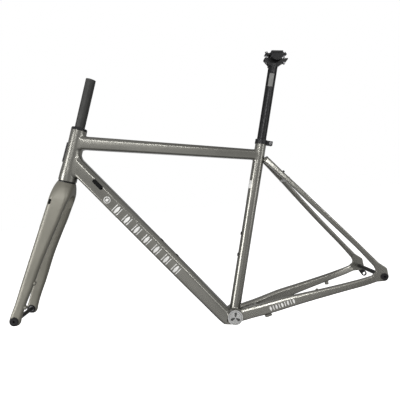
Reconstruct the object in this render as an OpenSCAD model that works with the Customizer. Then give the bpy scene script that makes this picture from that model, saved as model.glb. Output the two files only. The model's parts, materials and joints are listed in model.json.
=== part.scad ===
// Gravel bicycle frameset: welded frame, fork, headset, seatpost and two thru-axles.
// Millimetres. Origin at the bottom bracket centre, +X to the rear wheel,
// +Y to the rider's right (drive side), +Z up, with both axles level.

/* [Frame geometry] */
// Head tube angle from the horizontal
head_angle = 70; // [69:0.5:71]
// Seat tube angle from the horizontal
seat_angle = 74.5; // [73.5:0.5:75.5]
// Height of the axles above the bottom bracket
bb_drop = 78; // [76:1:80]
// Bottom bracket to rear axle
chainstay_length = 435; // [434:1:437]
// Length of the head tube
head_tube_length = 152; // [148:1:156]
// Distance from the bottom bracket to the top of the seat tube
seat_tube_length = 526; // [520:1:532]

/* [Fork] */
// Distance of the front axle ahead of the steering axis
fork_rake = 35; // [33:1:37]
// Crown race seat to front axle, along the steering axis
fork_length = 407.2; // [404:0.2:410]
// Length of the steerer above the crown
steerer_length = 307; // [285:1:315]
// Clear width between the fork ends
front_hub_width = 100; // [99:1:102]

/* [Tubes and wheels] */
// Outer diameter of the seat tube
seat_tube_od = 32.4; // [32:0.2:33]
// Clear width between the rear dropouts
rear_hub_width = 142; // [141:1:144]
// Width of the threaded bottom bracket shell
bb_width = 68; // [66:1:70]
// Wall of the drawn tubes
tube_wall = 1.8; // [1.4:0.1:2]
// Diameter of both thru-axles
axle_d = 12; // [11.8:0.1:12]

/* [Seatpost] */
// Diameter of the seatpost
post_d = 27.2; // [27:0.1:27.2]
// Length of the seatpost below its head
post_length = 350; // [330:5:370]
// Distance from the bottom bracket to the foot of the seatpost head
post_height = 744; // [730:1:760]
// Nose-up tilt of the saddle rails
saddle_tilt = 6.7; // [4:0.1:8]

/* [Hidden] */
$fn = 64;
eps = 0.01;
fine = 3;
running = 0.05;

paint = [0.48, 0.47, 0.43];
black = [0.07, 0.07, 0.08];
charcoal = [0.26, 0.26, 0.25];
steel = [0.62, 0.63, 0.64];

// Steering axis: stations are distances from its foot, where it crosses z = 0
axle_station = 70.3;
crown_top = axle_station + fork_length;
head_bottom = crown_top + 3.5;
head_top = head_bottom + head_tube_length;
steerer_top = crown_top + steerer_length;
front_axle_x = -615;
rear_axle_x = sqrt(pow(chainstay_length, 2) - pow(bb_drop, 2));
steer_foot = front_axle_x + fork_rake * sin(head_angle) - axle_station * cos(head_angle);
steer_dir = [cos(head_angle), 0, sin(head_angle)];
steer_back = [sin(head_angle), 0, -cos(head_angle)];
seat_dir = [cos(seat_angle), 0, sin(seat_angle)];
seat_back = [sin(seat_angle), 0, -cos(seat_angle)];
side = [0, 1, 0];

head_top_r = 22.8;
head_bottom_r = 26.4;
steerer_r = 14.3;
steerer_bore_r = 11.8;
race_seat_r = 16.5;
// The steerer is slimmer inside the headset than along the length that takes the stem
neck_r = steerer_r - 0.5;
stem_seat = head_top + 7;
upper_seat_r = 21;
lower_seat_r = 23.5;
bearing_h = 7;
upper_bearing_z = head_top - 7.4;
lower_bearing_z = head_bottom + 0.4;
seat_r = seat_tube_od / 2;
post_r = post_d / 2;
axle_r = axle_d / 2;
shell_r = 21;
shell_bore_r = 16.9;
shell_rebate_r = 18.5;
shell_rebate = 4;
boss_r = 5.2;
boss_bore_r = 2.5;
shank_r = boss_bore_r + 1.2;
boss_pitch = 64;

function steer_pt(along, off = 0, y = 0) =
  [steer_foot, 0, 0] + along * steer_dir + off * steer_back + y * side;
function seat_pt(along, off = 0, y = 0) = along * seat_dir + off * seat_back + y * side;
function unit(v) = v / norm(v);

module on_steering_axis() translate([steer_foot, 0, 0]) rotate([0, 90 - head_angle, 0]) children();
module on_seat_axis() rotate([0, 90 - seat_angle, 0]) children();
module along_y(from, to, r) translate([0, from, 0]) rotate([-90, 0, 0]) cylinder(h = to - from, r = r);
module both_sides() {
  children();
  mirror([0, 1, 0]) children();
}

// One rounded corner at p, between the directions to a and b
function corner(a, p, b, r) =
  let (u = unit(a - p), v = unit(b - p), half = acos(u * v) / 2, turn = 180 - 2 * half,
       c = p + unit(u + v) * r / sin(half), s = p + u * r / tan(half) - c, e = p + v * r / tan(half) - c)
  [for (i = [0:fine]) c + (s * sin((1 - i / fine) * turn) + e * sin(i / fine * turn)) / sin(turn)];
function rounded(pts, r) =
  let (n = len(pts)) [for (i = [0:n - 1]) each corner(pts[(i + n - 1) % n], pts[i], pts[(i + 1) % n], r)];

// Tube section: flat sides, and a crown that narrows above a ridge line; [up, side] pairs
function section(h, w, r) =
  let (ridge = 0.26 * h, crown = 0.62 * w)
  rounded([[-h / 2, -w / 2], [-h / 2, w / 2], [ridge, w / 2], [h / 2, crown / 2],
           [h / 2, -crown / 2], [ridge, -w / 2]], min(r, 0.3 * h, 0.3 * w));
function box_section(h, w, r) =
  rounded([[-h / 2, -w / 2], [-h / 2, w / 2], [h / 2, w / 2], [h / 2, -w / 2]], r);
function place(outline, at, up, across) = [for (p = outline) at + p[0] * up + p[1] * across];

// Closed solid through a list of rings with equal numbers of points
module skin(rings) {
  n = len(rings[0]);
  last = len(rings) - 1;
  walls = [for (k = [0:last - 1], i = [0:n - 1]) let (j = (i + 1) % n)
             each [[k * n + i, (k + 1) * n + j, k * n + j], [k * n + i, (k + 1) * n + i, (k + 1) * n + j]]];
  polyhedron([for (ring = rings) each ring],
             concat(walls, [[for (i = [0:n - 1]) i]], [[for (i = [n - 1:-1:0]) last * n + i]]),
             convexity = 6);
}

// Hollow tube open at both ends: each row is [centre, height, width], shrunk by the wall for its bore
module hollow(rows, dir, up, r, wall) {
  last = len(rows) - 1;
  function over(k, extra) = k == 0 ? -extra : k == last ? extra : 0;
  module body(shrink, extra) skin([for (k = [0:last]) let (s = rows[k])
    place(section(s[1] - 2 * shrink, s[2] - 2 * shrink, r - shrink / 2),
          s[0] + over(k, extra) * dir, up, side)]);
  difference() {
    body(0, 0);
    body(wall, 1);
  }
}

// Straight tube in the frame's plane: stations are [distance, height, width]
module drawn_tube(from, dir, stations, r)
  hollow([for (s = stations) [from + s[0] * dir, s[1], s[2]]], dir, [-dir[2], 0, dir[0]], r, tube_wall);

// Stay that bends sideways: stations are [x, z, y, height, width]
module stay(stations, up, r, wall)
  hollow([for (s = stations) [[s[0], s[2], s[1]], s[3], s[4]]], [up[2], 0, -up[0]], up, r, wall);

/* ---- Frame ---- */

module head_solid(grow = 0) rotate_extrude()
  polygon([[0, head_bottom], [head_bottom_r + grow, head_bottom], [head_bottom_r + grow, head_bottom + 14],
           [24.6 + grow, head_bottom + 52], [head_top_r + grow, head_top - 34],
           [head_top_r + grow, head_top], [0, head_top]]);

module head_tube() {
  seat_depth = bearing_h + 0.4;
  color(paint) on_steering_axis() difference() {
    head_solid();
    rotate_extrude() polygon([
      [0, head_bottom - 1], [lower_seat_r, head_bottom - 1], [lower_seat_r, head_bottom + seat_depth],
      [21.4, head_bottom + seat_depth], [19.6, head_bottom + 24], [19.2, head_top - 24],
      [19.2, head_top - seat_depth], [upper_seat_r, head_top - seat_depth], [upper_seat_r, head_top + 1],
      [0, head_top + 1]]);
  }
}

top_tube_front = steer_pt(596.2);
top_tube_back = seat_pt(481.5);
top_tube_dir = unit(top_tube_back - top_tube_front);
top_tube_span = norm(top_tube_back - top_tube_front);
module top_tube() {
  color(paint) difference() {
    drawn_tube(top_tube_front, top_tube_dir,
      [[0, 38, 40], [90, 37, 40], [250, 34.5, 36], [top_tube_span - 60, 31, 32],
       [top_tube_span, 29.5, 30]], 7);
    on_steering_axis() head_solid();
    on_seat_axis() cylinder(h = seat_tube_length, r = seat_r);
  }
}

down_tube_front = [-420.2, 0, 509.7];
down_tube_back = [-19, 0, -8];
down_tube_dir = unit(down_tube_back - down_tube_front);
down_tube_up = [-down_tube_dir[2], 0, down_tube_dir[0]];
down_tube_span = norm(down_tube_back - down_tube_front);
down_tube_port = 104.6;
port_up = 6.8;
function down_tube_pt(t, up = 0, y = 0) = down_tube_front + t * down_tube_dir + up * down_tube_up + y * side;
port_length = 39;
port_height = 12;
module port_outline(grow) hull() for (t = [-1, 1]) translate([t * (port_length - port_height) / 2, 0])
  circle(d = port_height + 2 * grow, $fn = 32);
module on_port() translate(down_tube_pt(down_tube_port, port_up)) multmatrix([
    [down_tube_dir[0], down_tube_up[0], 0, 0], [0, 0, 1, 0], [down_tube_dir[2], down_tube_up[2], 0, 0]])
  children();
module down_tube() {
  color(paint) difference() {
    drawn_tube(down_tube_front, down_tube_dir,
      [[0, 47.5, 42], [110, 47, 45], [240, 46.8, 48], [460, 46, 50], [560, 43.5, 54],
       [down_tube_span - 20, 42, 56], [down_tube_span, 37, 56]], 8);
    on_steering_axis() head_solid();
    along_y(-50, 50, shell_r);
    on_seat_axis() cylinder(h = 90, r = seat_r);
    on_port() translate([0, 0, -40]) linear_extrude(80) port_outline(0);
    bosses_on_down_tube(shank_r, 1);
    bosses_under_down_tube(shank_r, 1);
  }
}

// Cast foot that closes the gap between the down tube's end and the shell's underside
module bb_foot() {
  foot_w = 50;
  color(paint) difference() {
    rotate([90, 0, 0]) translate([0, 0, -foot_w / 2]) linear_extrude(foot_w) hull() {
      translate([-10, -12.5]) circle(r = 10.2, $fn = 48);
      translate([-27, -11]) circle(r = 9, $fn = 48);
    }
    along_y(-50, 50, shell_r);
    translate(down_tube_back) rotate([0, atan2(down_tube_up[0], down_tube_up[2]), 0])
      translate([-60, -60, -60]) cube([60, 120, 120]);
  }
}

module seat_tube() {
  slot = 3;
  slot_length = 34;
  color(paint) difference() {
    on_seat_axis() difference() {
      cylinder(h = seat_tube_length, r = seat_r);
      translate([0, 0, -1]) cylinder(h = seat_tube_length + 2, r = post_r + running);
      translate([0, -slot / 2, seat_tube_length - slot_length]) cube([seat_r + 5, slot, slot_length + 1]);
      translate([0, 0, seat_tube_length - slot_length]) rotate([0, 90, 0])
        cylinder(h = seat_r + 5, r = slot);
    }
    along_y(-50, 50, shell_r);
    bosses_on_seat_tube(shank_r, 4);
  }
}

module bb_shell() {
  half = bb_width / 2;
  color(paint) difference() {
    along_y(-half, half, shell_r);
    along_y(-half - 1, half + 1, shell_bore_r);
    along_y(-half - 1, -half + shell_rebate, shell_rebate_r);
  }
}

chainstay_up = unit([-0.2, 0, 1]);
seatstay_up = unit([0.78, 0, 0.62]);
end_inner = rear_hub_width / 2;
end_thick = 8;
chainstay_route = [
  [12, 1, 21, 34, 21], [45, 7, 24, 33.5, 21], [82, 13.5, 30, 33, 20], [118, 21, 36.5, 32.5, 19],
  [150, 28, 41, 31.5, 18.5], [205, 38, 48, 27.5, 17.5], [270, 49.4, 57, 23.5, 16], [335, 61, 66, 21, 15],
  [372, 68, 71, 21, 12], [404, 75.5, 75, 21, 8]];
module chainstay() {
  color(paint) difference() {
    stay(chainstay_route, chainstay_up, 5, tube_wall);
    along_y(-50, 50, shell_r);
    on_seat_axis() cylinder(h = 60, r = seat_r);
  }
}
seatstay_route = [
  [142, 452, 11, 18, 15], [160, 429.5, 17.5, 16.5, 15], [182, 401.5, 25.5, 15, 14], [205, 373, 33.5, 14, 14],
  [260, 303, 51, 14, 14], [315, 234, 64, 14, 13.5], [370, 166, 72, 14, 12], [411, 113, 75, 17, 8]];
module seatstay() {
  color(paint) difference() {
    stay(seatstay_route, seatstay_up, 3.6, 1.2);
    on_seat_axis() cylinder(h = seat_tube_length, r = seat_r);
  }
}
// Flat brake mount on the left chainstay: two bored posts
brake_pitch = 34;
brake_tilt = -11;
brake_front = [352, -69, 80];
brake_bore_r = 2.75;
module brake_posts(r, from, to) translate(brake_front) rotate([0, brake_tilt, 0])
  for (k = [0, 1]) translate([k * brake_pitch, -1.5 * k, from]) cylinder(h = to - from, r = r);
module chainstay_left() color(paint) difference() {
  union() {
    mirror([0, 1, 0]) chainstay();
    brake_posts(6.5, -13, 0);
  }
  brake_posts(brake_bore_r, -45, 10);
}
module chainstay_right() chainstay();
module seatstay_left() mirror([0, 1, 0]) seatstay();
module seatstay_right() seatstay();

// Plate between the chainstays behind the shell, with two cable exits
module chainstay_bridge() {
  plate = 4;
  plate_w = 28;
  cable_exits = [44, 61];
  color(paint) difference() {
    translate([26, -plate_w / 2, 9]) rotate([0, -12, 0]) cube([46, plate_w, plate]);
    along_y(-50, 50, shell_r);
    on_seat_axis() cylinder(h = 60, r = seat_r);
    stay_solids();
    for (x = cable_exits) translate([x, 0, 0]) cylinder(h = 40, r = 3);
  }
}
// Outer shapes of all four stays, for cutting what is welded to them
module stay_solids() both_sides() {
  skin([for (s = chainstay_route) place(section(s[3], s[4], 5), [s[0], s[2], s[1]], chainstay_up, side)]);
  skin([for (s = seatstay_route) place(section(s[3], s[4], 3.6), [s[0], s[2], s[1]], seatstay_up, side)]);
}
module seatstay_bridge() {
  bridge_at = [197, 0, 383];
  bridge_r = 7.5;
  fender_bore_r = 2.6;
  color(paint) difference() {
    translate(bridge_at) along_y(-36, 36, bridge_r);
    stay_solids();
    translate(bridge_at) rotate([0, -130, 0]) cylinder(h = 20, r = fender_bore_r);
  }
}

// Plane where a stay ends on the dropout: the cube fills the stay's side of it
module stay_side(route, up) {
  s = route[len(route) - 1];
  translate([s[0], 0, s[1]]) rotate([0, atan2(up[0], up[2]), 0])
    translate([-60, -120, -40]) cube([60, 240, 80]);
}
// Dropout plate at the rear axle, for the right side
module dropout_plate() {
  module axle_boss() translate([rear_axle_x, bb_drop]) circle(r = 13.5, $fn = 48);
  color(paint) difference() {
    translate([0, end_inner + end_thick, 0]) rotate([90, 0, 0]) linear_extrude(end_thick) {
      hull() {
        axle_boss();
        translate([429.5, 96]) circle(r = 10, $fn = 32);
        translate([411, 113]) circle(r = 8.5, $fn = 32);
      }
      hull() {
        axle_boss();
        translate([402, 76]) circle(r = 10.5, $fn = 32);
        translate([414, 88]) circle(r = 8, $fn = 32);
      }
    }
    stay_side(chainstay_route, chainstay_up);
    stay_side(seatstay_route, seatstay_up);
    translate([rear_axle_x, 0, bb_drop]) along_y(0, 120, axle_r + running);
  }
}
module dropout_left() mirror([0, 1, 0]) dropout_plate();
module dropout_right() dropout_plate();

hanger_hole = [443, 50.5];
hanger_r = 4.6;
hanger_thick = 4;
hanger_face = end_inner + end_thick;
hanger_screw = [rear_axle_x - 7.6, 0, bb_drop + 4.5];
screw_r = 1.7;
knee = [433, 66];
module derailleur_hanger() {
  color(black) difference() {
    translate([0, hanger_face + hanger_thick, 0]) rotate([90, 0, 0]) linear_extrude(hanger_thick) {
      hull() {
        translate([rear_axle_x, bb_drop]) circle(r = 11.5, $fn = 48);
        translate(knee) circle(r = 7.5, $fn = 32);
      }
      hull() {
        translate(knee) circle(r = 7.5, $fn = 32);
        translate(hanger_hole) circle(r = 8.2, $fn = 48);
      }
    }
    translate([rear_axle_x, 0, bb_drop]) along_y(0, 120, axle_r + running);
    translate([hanger_hole[0], 0, hanger_hole[1]]) along_y(0, 120, hanger_r);
    translate(hanger_screw) along_y(0, 120, screw_r);
  }
}
module hanger_bolt() {
  head = 1.6;
  color(black) translate(hanger_screw) difference() {
    union() {
      along_y(hanger_face, hanger_face + hanger_thick, screw_r);
      along_y(hanger_face + hanger_thick, hanger_face + hanger_thick + head, 2.8);
    }
    translate([0, hanger_face + hanger_thick + head + eps, 0]) rotate([90, 0, 0])
      cylinder(h = 1.4, r = 1.3, $fn = 6);
  }
}

// Threaded bottle bosses: raised rivet nuts, two to a set
boss_head = 1.6;
boss_depth = 8;
boss_first_down = 350.6;
boss_first_under = 445;
boss_first_seat = 179;
module boss(r, shank, depth = boss_depth) translate([0, 0, -depth]) cylinder(h = depth + shank, r = r);
module bosses_on_down_tube(r, shank) for (k = [0, 1])
  translate(down_tube_pt(boss_first_down + k * boss_pitch, 23.3))
    rotate([0, 90 - atan2(down_tube_up[2], down_tube_up[0]), 0])
    boss(r, shank);
module bosses_under_down_tube(r, shank) for (k = [0, 1])
  translate(down_tube_pt(boss_first_under + k * boss_pitch, -23.05))
    rotate([0, -90 - atan2(down_tube_up[2], down_tube_up[0]), 0])
    boss(r, shank);
module bosses_on_seat_tube(r, shank) for (k = [0, 1])
  translate(seat_pt(boss_first_seat + k * boss_pitch, -seat_r)) rotate([0, -seat_angle, 0])
    boss(r, shank, seat_r - post_r - 0.6);

module bottle_bosses_down_tube() color(black) difference() {
  union() {
    bosses_on_down_tube(shank_r, 0);
    translate(boss_head * down_tube_up) difference() {
      bosses_on_down_tube(boss_r, 0);
      translate(-boss_head * down_tube_up) bosses_on_down_tube(boss_r + 1, 0);
    }
  }
  bosses_on_down_tube(boss_bore_r, 5);
}
module bottle_bosses_underside() color(black) difference() {
  union() {
    bosses_under_down_tube(shank_r, 0);
    translate(-boss_head * down_tube_up) difference() {
      bosses_under_down_tube(boss_r, 0);
      translate(boss_head * down_tube_up) bosses_under_down_tube(boss_r + 1, 0);
    }
  }
  bosses_under_down_tube(boss_bore_r, 5);
}
module bottle_bosses_seat_tube() color(black) difference() {
  union() {
    bosses_on_seat_tube(shank_r, 0);
    bosses_on_seat_tube(boss_r, boss_head);
  }
  on_seat_axis() cylinder(h = 400, r = seat_r);
  bosses_on_seat_tube(boss_bore_r, 5);
}

// Rubber grommets that close the cable ports, each with one hose hole
hose_r = 2.7;
grommet_foot = 19.4;
grommet_h = 3.4;
module cable_port() color(black) difference() {
  on_port() difference() {
    translate([0, 0, grommet_foot]) linear_extrude(grommet_h) port_outline(-0.2);
    translate([8, 0, 10]) rotate([0, 35, 0]) cylinder(h = 30, r = hose_r);
  }
}
module cable_port_right() cable_port();
module cable_port_left() mirror([0, 1, 0]) cable_port();

module cable_guide_chainstay() {
  guide_at = [96, -36, -1.5];
  guide_w = 8;
  guide_r = 3.5;
  cable_r = 1.6;
  color(paint) translate(guide_at) rotate([0, -12, 0]) difference() {
    hull() for (x = [-7, 7]) translate([x, -guide_w / 2, -2.5]) along_y(0, guide_w, guide_r);
    rotate([0, 12, 0]) translate(-guide_at) stay_solids();
    translate([0, 0, -5]) rotate([0, 90, 0]) translate([0, 0, -20]) cylinder(h = 40, r = cable_r);
  }
}
module hose_clips() {
  clip_r = 3.8;
  wide_clip_r = 6;
  screw_r = 1.6;
  on_left = [241, -52, 54];
  on_right = [311, 62, 36];
  color(paint) difference() {
    union() {
      translate(on_left) cylinder(h = 5.5, r = clip_r);
      translate(on_right) cylinder(h = 12, r = wide_clip_r);
    }
    translate(on_left + [0, 0, 3]) cylinder(h = 5, r = screw_r);
    translate(on_right - [0, 0, 1]) cylinder(h = 5, r = screw_r);
    stay_solids();
  }
}
// Button-head screws in the rack eyes on the seatstays
module at_rack_eye() translate([184, 26, 402]) rotate([0, 52, 0]) children();
module rack_bolts() {
  head_low = 8.2;
  head_r = 3.6;
  color(black) difference() {
    both_sides() at_rack_eye() {
      cylinder(h = head_low, r = head_r);
      translate([0, 0, head_low]) cylinder(h = 1.4, r1 = head_r, r2 = 2.4);
    }
    stay_solids();
    both_sides() at_rack_eye() translate([0, 0, head_low + 0.2]) cylinder(h = 3, r = 1.6, $fn = 6);
  }
}
module head_badge() {
  badge_low = 533;
  badge_h = 58;
  color(black) on_steering_axis() difference() {
    intersection() {
      head_solid(2.4);
      translate([-40, -13, badge_low]) cube([40, 26, badge_h]);
    }
    head_solid(0);
  }
}

/* ---- Headset ---- */

module ball_groove(ring_r, z, ball_r) rotate_extrude() translate([ring_r, z]) circle(r = ball_r, $fn = 48);
upper_ball = 1.6;
upper_ball_ring = 18;
lower_ball = 1.7;
lower_ball_ring = 20.3;
ball_count = 24;
module race(inner, outer, z, ring_r, ball_r) difference() {
  translate([0, 0, z]) cylinder(h = bearing_h, r = outer);
  translate([0, 0, z - 1]) cylinder(h = bearing_h + 2, r = inner);
  ball_groove(ring_r, z + bearing_h / 2, ball_r);
}
module balls(ring_r, z, ball_r) for (k = [0:ball_count - 1]) rotate([0, 0, k * 360 / ball_count])
  translate([ring_r, 0, z + bearing_h / 2]) sphere(r = ball_r, $fn = 32);
module upper_bearing_race() color(steel) on_steering_axis()
  race(19, upper_seat_r, upper_bearing_z, upper_ball_ring, upper_ball);
module upper_bearing_balls() color(steel) on_steering_axis()
  balls(upper_ball_ring, upper_bearing_z, upper_ball);
module lower_bearing_race() color(steel) on_steering_axis()
  race(21.4, lower_seat_r, lower_bearing_z, lower_ball_ring, lower_ball);
module lower_bearing_balls() color(steel) on_steering_axis()
  balls(lower_ball_ring, lower_bearing_z, lower_ball);
upper_race_bore = 15.1;
lower_race_bore = 17.1;
module upper_inner_race() color(steel) on_steering_axis()
  race(upper_race_bore, 17, upper_bearing_z, upper_ball_ring, upper_ball + running);
module lower_inner_race() color(steel) on_steering_axis()
  race(lower_race_bore, 19.2, lower_bearing_z, lower_ball_ring, lower_ball + running);
module crown_race() color(black) on_steering_axis() rotate_extrude()
  polygon([[race_seat_r, crown_top], [25, crown_top], [25, crown_top + 2.2], [24, crown_top + 2.9],
           [18.6, crown_top + 2.9], [18.6, lower_bearing_z], [lower_race_bore, lower_bearing_z],
           [lower_race_bore, lower_bearing_z + 5], [race_seat_r, lower_bearing_z + 5]]);
module compression_ring() color(steel) on_steering_axis() rotate_extrude()
  polygon([[neck_r, upper_bearing_z + 0.8], [upper_race_bore, upper_bearing_z + 0.8],
           [upper_race_bore, head_top + 1], [neck_r, head_top + 1]]);
module headset_cover() {
  cover_foot = head_top + 0.5;
  color(black) on_steering_axis() rotate_extrude()
    polygon([[steerer_r + 1.6, cover_foot + 0.5], [18, cover_foot + 1.5], [21, cover_foot],
             [22.9, cover_foot], [22.9, cover_foot + 1.2], [21.6, cover_foot + 5.6],
             [20.6, cover_foot + 6.4], [steerer_r + 1.6, cover_foot + 6.4]]);
}
module headset_seal() color(black) on_steering_axis() translate([0, 0, head_top + 4]) difference() {
  cylinder(h = 3, r = steerer_r + 1.6);
  translate([0, 0, -1]) cylinder(h = 5, r = neck_r);
}

/* ---- Seat collar ---- */

collar_low = seat_tube_length - 12.5;
collar_h = 13.5;
collar_r = 17.9;
ear_x = 26.5;
module seat_collar() {
  color(black) on_seat_axis() difference() {
    union() {
      translate([0, 0, collar_low]) cylinder(h = collar_h, r = collar_r);
      translate([12, -9, collar_low + 0.3]) cube([21, 18, 12.6]);
    }
    translate([0, 0, collar_low - 1]) cylinder(h = collar_h + 2, r = seat_r);
    translate([10, -1.6, collar_low - 1]) cube([30, 3.2, collar_h + 2]);
    translate([ear_x, 0, collar_low + collar_h / 2]) {
      along_y(-20, 20, 2.6);
      along_y(-20, -6.4, 4.4);
      along_y(5.4, 20, 4.4);
    }
  }
}
module at_collar_ears() on_seat_axis() translate([ear_x, 0, collar_low + collar_h / 2]) children();
module collar_bolt() color(steel) at_collar_ears() difference() {
  union() {
    along_y(-8.6, -6.4, 4.3);
    along_y(-7, 8, 2.5);
  }
  translate([0, -8.6 - eps, 0]) rotate([-90, 0, 0]) cylinder(h = 1.8, r = 2.3, $fn = 6);
}
module collar_nut() color(steel) at_collar_ears() difference() {
  along_y(5.4, 8.8, 4.3);
  along_y(0, 12, 2.5);
}

/* ---- Fork ---- */

module steerer_tube() color(charcoal) on_steering_axis() rotate_extrude()
  polygon([[steerer_bore_r, crown_top - 24], [race_seat_r, crown_top - 24], [race_seat_r, crown_top + 26],
           [neck_r, crown_top + 70], [neck_r, stem_seat], [steerer_r, stem_seat],
           [steerer_r, steerer_top], [steerer_bore_r, steerer_top]]);

// Fork outline: rings are [station, front, rear, inner, outer, nose radius, tail radius], measured from
// the steering axis; the crown's rings reach across both sides and a leg's rings have a slim inner edge
function fork_outline(h, w, radii) =
  let (pts = [[-h / 2, -w / 2], [-h / 2, w / 2], [h / 2, w / 2], [h / 2, -w / 2]])
  [for (i = [0:3]) each corner(pts[(i + 3) % 4], pts[i], pts[(i + 1) % 4], radii[i])];
function fork_ring(s, shrink = 0) =
  let (h = s[2] - s[1] - 2 * shrink, w = s[4] - s[3] - 2 * shrink, nose = s[5] - shrink, tail = s[6] - shrink,
       slim = s[3] < 0 ? nose : 0.9 * min(nose, w - nose))
  place(fork_outline(h, w, [slim, nose, tail, tail]),
        steer_pt(s[0], (s[1] + s[2]) / 2, (s[3] + s[4]) / 2), steer_back, side);
leg_split = crown_top - 77.5;
crown_route = [
  [crown_top, -25.6, 25.6, -25.6, 25.6, 25.5, 25.5], [crown_top - 4, -27, 26.4, -28, 28, 26, 25],
  [crown_top - 14, -29.2, 26.8, -34, 34, 25, 22], [crown_top - 26, -30.4, 26.8, -38.5, 38.5, 22, 18],
  [crown_top - 40, -30.9, 25.4, -42.3, 42.3, 18, 13], [crown_top - 53, -31, 23.2, -44.6, 44.6, 15.5, 10],
  [leg_split, -31.3, 19, -47, 47, 14, 8]];
module fork_crown() {
  arch_r = 28.5;
  arch_station = crown_top - 64;
  color(paint) difference() {
    skin([for (s = crown_route) fork_ring(s)]);
    on_steering_axis() {
      translate([0, 0, crown_top - 24]) cylinder(h = 60, r = race_seat_r);
      translate([-60, 0, arch_station]) rotate([0, 90, 0]) cylinder(h = 120, r = arch_r);
      translate([-60, -arch_r, arch_station - 60]) cube([120, 2 * arch_r, 60]);
    }
    fork_port_hole(fork_port_r);
  }
}
leg_route = [
  [leg_split, -31.3, 19, 28.5, 47, 14, 8], [366, -33.7, 14.5, 28.5, 48.5, 14, 8],
  [320, -37, 7, 29.5, 50, 14, 8], [250, -41, -3.5, 34.5, 54.5, 13.5, 8], [170, -45, -11, 42.5, 60.5, 12.5, 7.4],
  [110, -48, -18, 48, 64, 11, 7], [84, -50.2, -19.6, 50, 66, 9, 6.5], [70, -51, -19, 50, 66, 8, 6.5],
  [62, -48.6, -21.4, 50, 66, 7, 6.5], [57.6, -43.6, -26.4, 50, 66, 7, 6.5]];
module leg_solid() skin([for (s = leg_route) fork_ring(s)]);
module fork_leg() {
  leg_wall = 2.4;
  cavity = [for (k = [0:5]) leg_route[k]];
  color(paint) difference() {
    leg_solid();
    skin(concat([fork_ring(leg_route[0] + [2, 0, 0, 0, 0, 0, 0], leg_wall)],
                [for (s = cavity) fork_ring(s, leg_wall)]));
    on_steering_axis() translate([-fork_rake, 0, axle_station]) along_y(40, 80, 12.4);
  }
}
module fork_leg_right() fork_leg();
module fork_leg_left() mirror([0, 1, 0]) fork_leg();

// Flat brake mount on the rear of the left leg: two threaded posts
front_brake_pitch = 70;
front_brake_low = 112;
front_brake_high = front_brake_low + front_brake_pitch;
module front_brake_post(station, back, y) on_steering_axis() translate([back, y, station])
  rotate([0, 96.4, 0])
  difference() {
    translate([0, 0, -8]) cylinder(h = 8, r = 6);
    translate([0, 0, -9]) cylinder(h = 10, r = brake_bore_r);
  }
module fork_brake_posts() color(paint) difference() {
  union() {
    front_brake_post(front_brake_low, -13.9, -56);
    front_brake_post(front_brake_high, -6, -50.5);
  }
  mirror([0, 1, 0]) leg_solid();
}

fork_port_at = steer_pt(415.3, -22, -44.6);
fork_port_r = 3.2;
fork_port_reach = 4.5;
module at_fork_port() translate(fork_port_at) rotate([0, 90 - head_angle, 0]) rotate([90, 0, -28])
  children();
module fork_port_slot(foot, top, r) at_fork_port() hull() for (k = [-1, 1])
  translate([0, k * fork_port_reach, foot]) cylinder(h = top - foot, r = r);
module fork_port_hole(r) fork_port_slot(-9, 11, r);
module fork_hose_port() color(black) difference() {
  fork_port_slot(-6, 1, fork_port_r);
  at_fork_port() translate([0, -fork_port_reach, -10]) cylinder(h = 20, r = 2.2);
}

fork_inner = front_hub_width / 2;
fork_outer = 67.2;
insert_r = 12.4;
module at_front_axle() translate([front_axle_x, 0, steer_pt(axle_station, -fork_rake)[2]]) children();
module fork_end_left() color(black) at_front_axle() difference() {
  along_y(-fork_outer, -fork_inner, insert_r);
  along_y(-fork_outer - 1, -fork_outer + 3, 10.6);
  along_y(-80, 0, axle_r + running);
}
module fork_end_right() color(black) at_front_axle() difference() {
  along_y(fork_inner, fork_outer - 1, insert_r);
  along_y(0, 80, 7.5);
}
module fork_end_nut() color(steel) at_front_axle() difference() {
  along_y(fork_inner - eps, fork_outer - 1.4, 7.5);
  along_y(0, 80, axle_r + running);
}

module axle(head_face, head_r, head_h, tip) color(black) difference() {
  union() {
    along_y(head_face, tip, axle_r);
    along_y(head_face - head_h, head_face, head_r);
  }
  translate([0, head_face - head_h - eps, 0]) rotate([-90, 0, 0]) cylinder(h = 6, r = 3.46, $fn = 6);
  along_y(head_face + 12, tip + 1, 3.5);
}
module front_axle() at_front_axle() axle(-fork_outer + 3 - running, 10.4, 3.4, fork_outer - 2);
module rear_axle() translate([rear_axle_x, 0, bb_drop])
  axle(-end_inner - end_thick - running, 9.8, 3.6, end_inner + end_thick + hanger_thick);

/* ---- Bottom bracket cover ---- */

module bb_cap() {
  face = -bb_width / 2;
  cap_r = 21.8;
  color(steel) difference() {
    union() {
      along_y(face - 2.2, face - 0.1, cap_r);
      along_y(face - 0.2, face + shell_rebate - 0.4, shell_rebate_r - running);
    }
    along_y(face - 0.1, face + shell_rebate + 1, shell_bore_r + 0.3);
  }
}

/* ---- Seatpost ---- */

post_foot = post_height - post_length;
module seatpost_tube() color(black) on_seat_axis() translate([0, 0, post_foot]) difference() {
  cylinder(h = post_length, r = post_r);
  translate([0, 0, -1]) cylinder(h = post_length + 2, r = post_r - 2.1);
}

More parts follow.
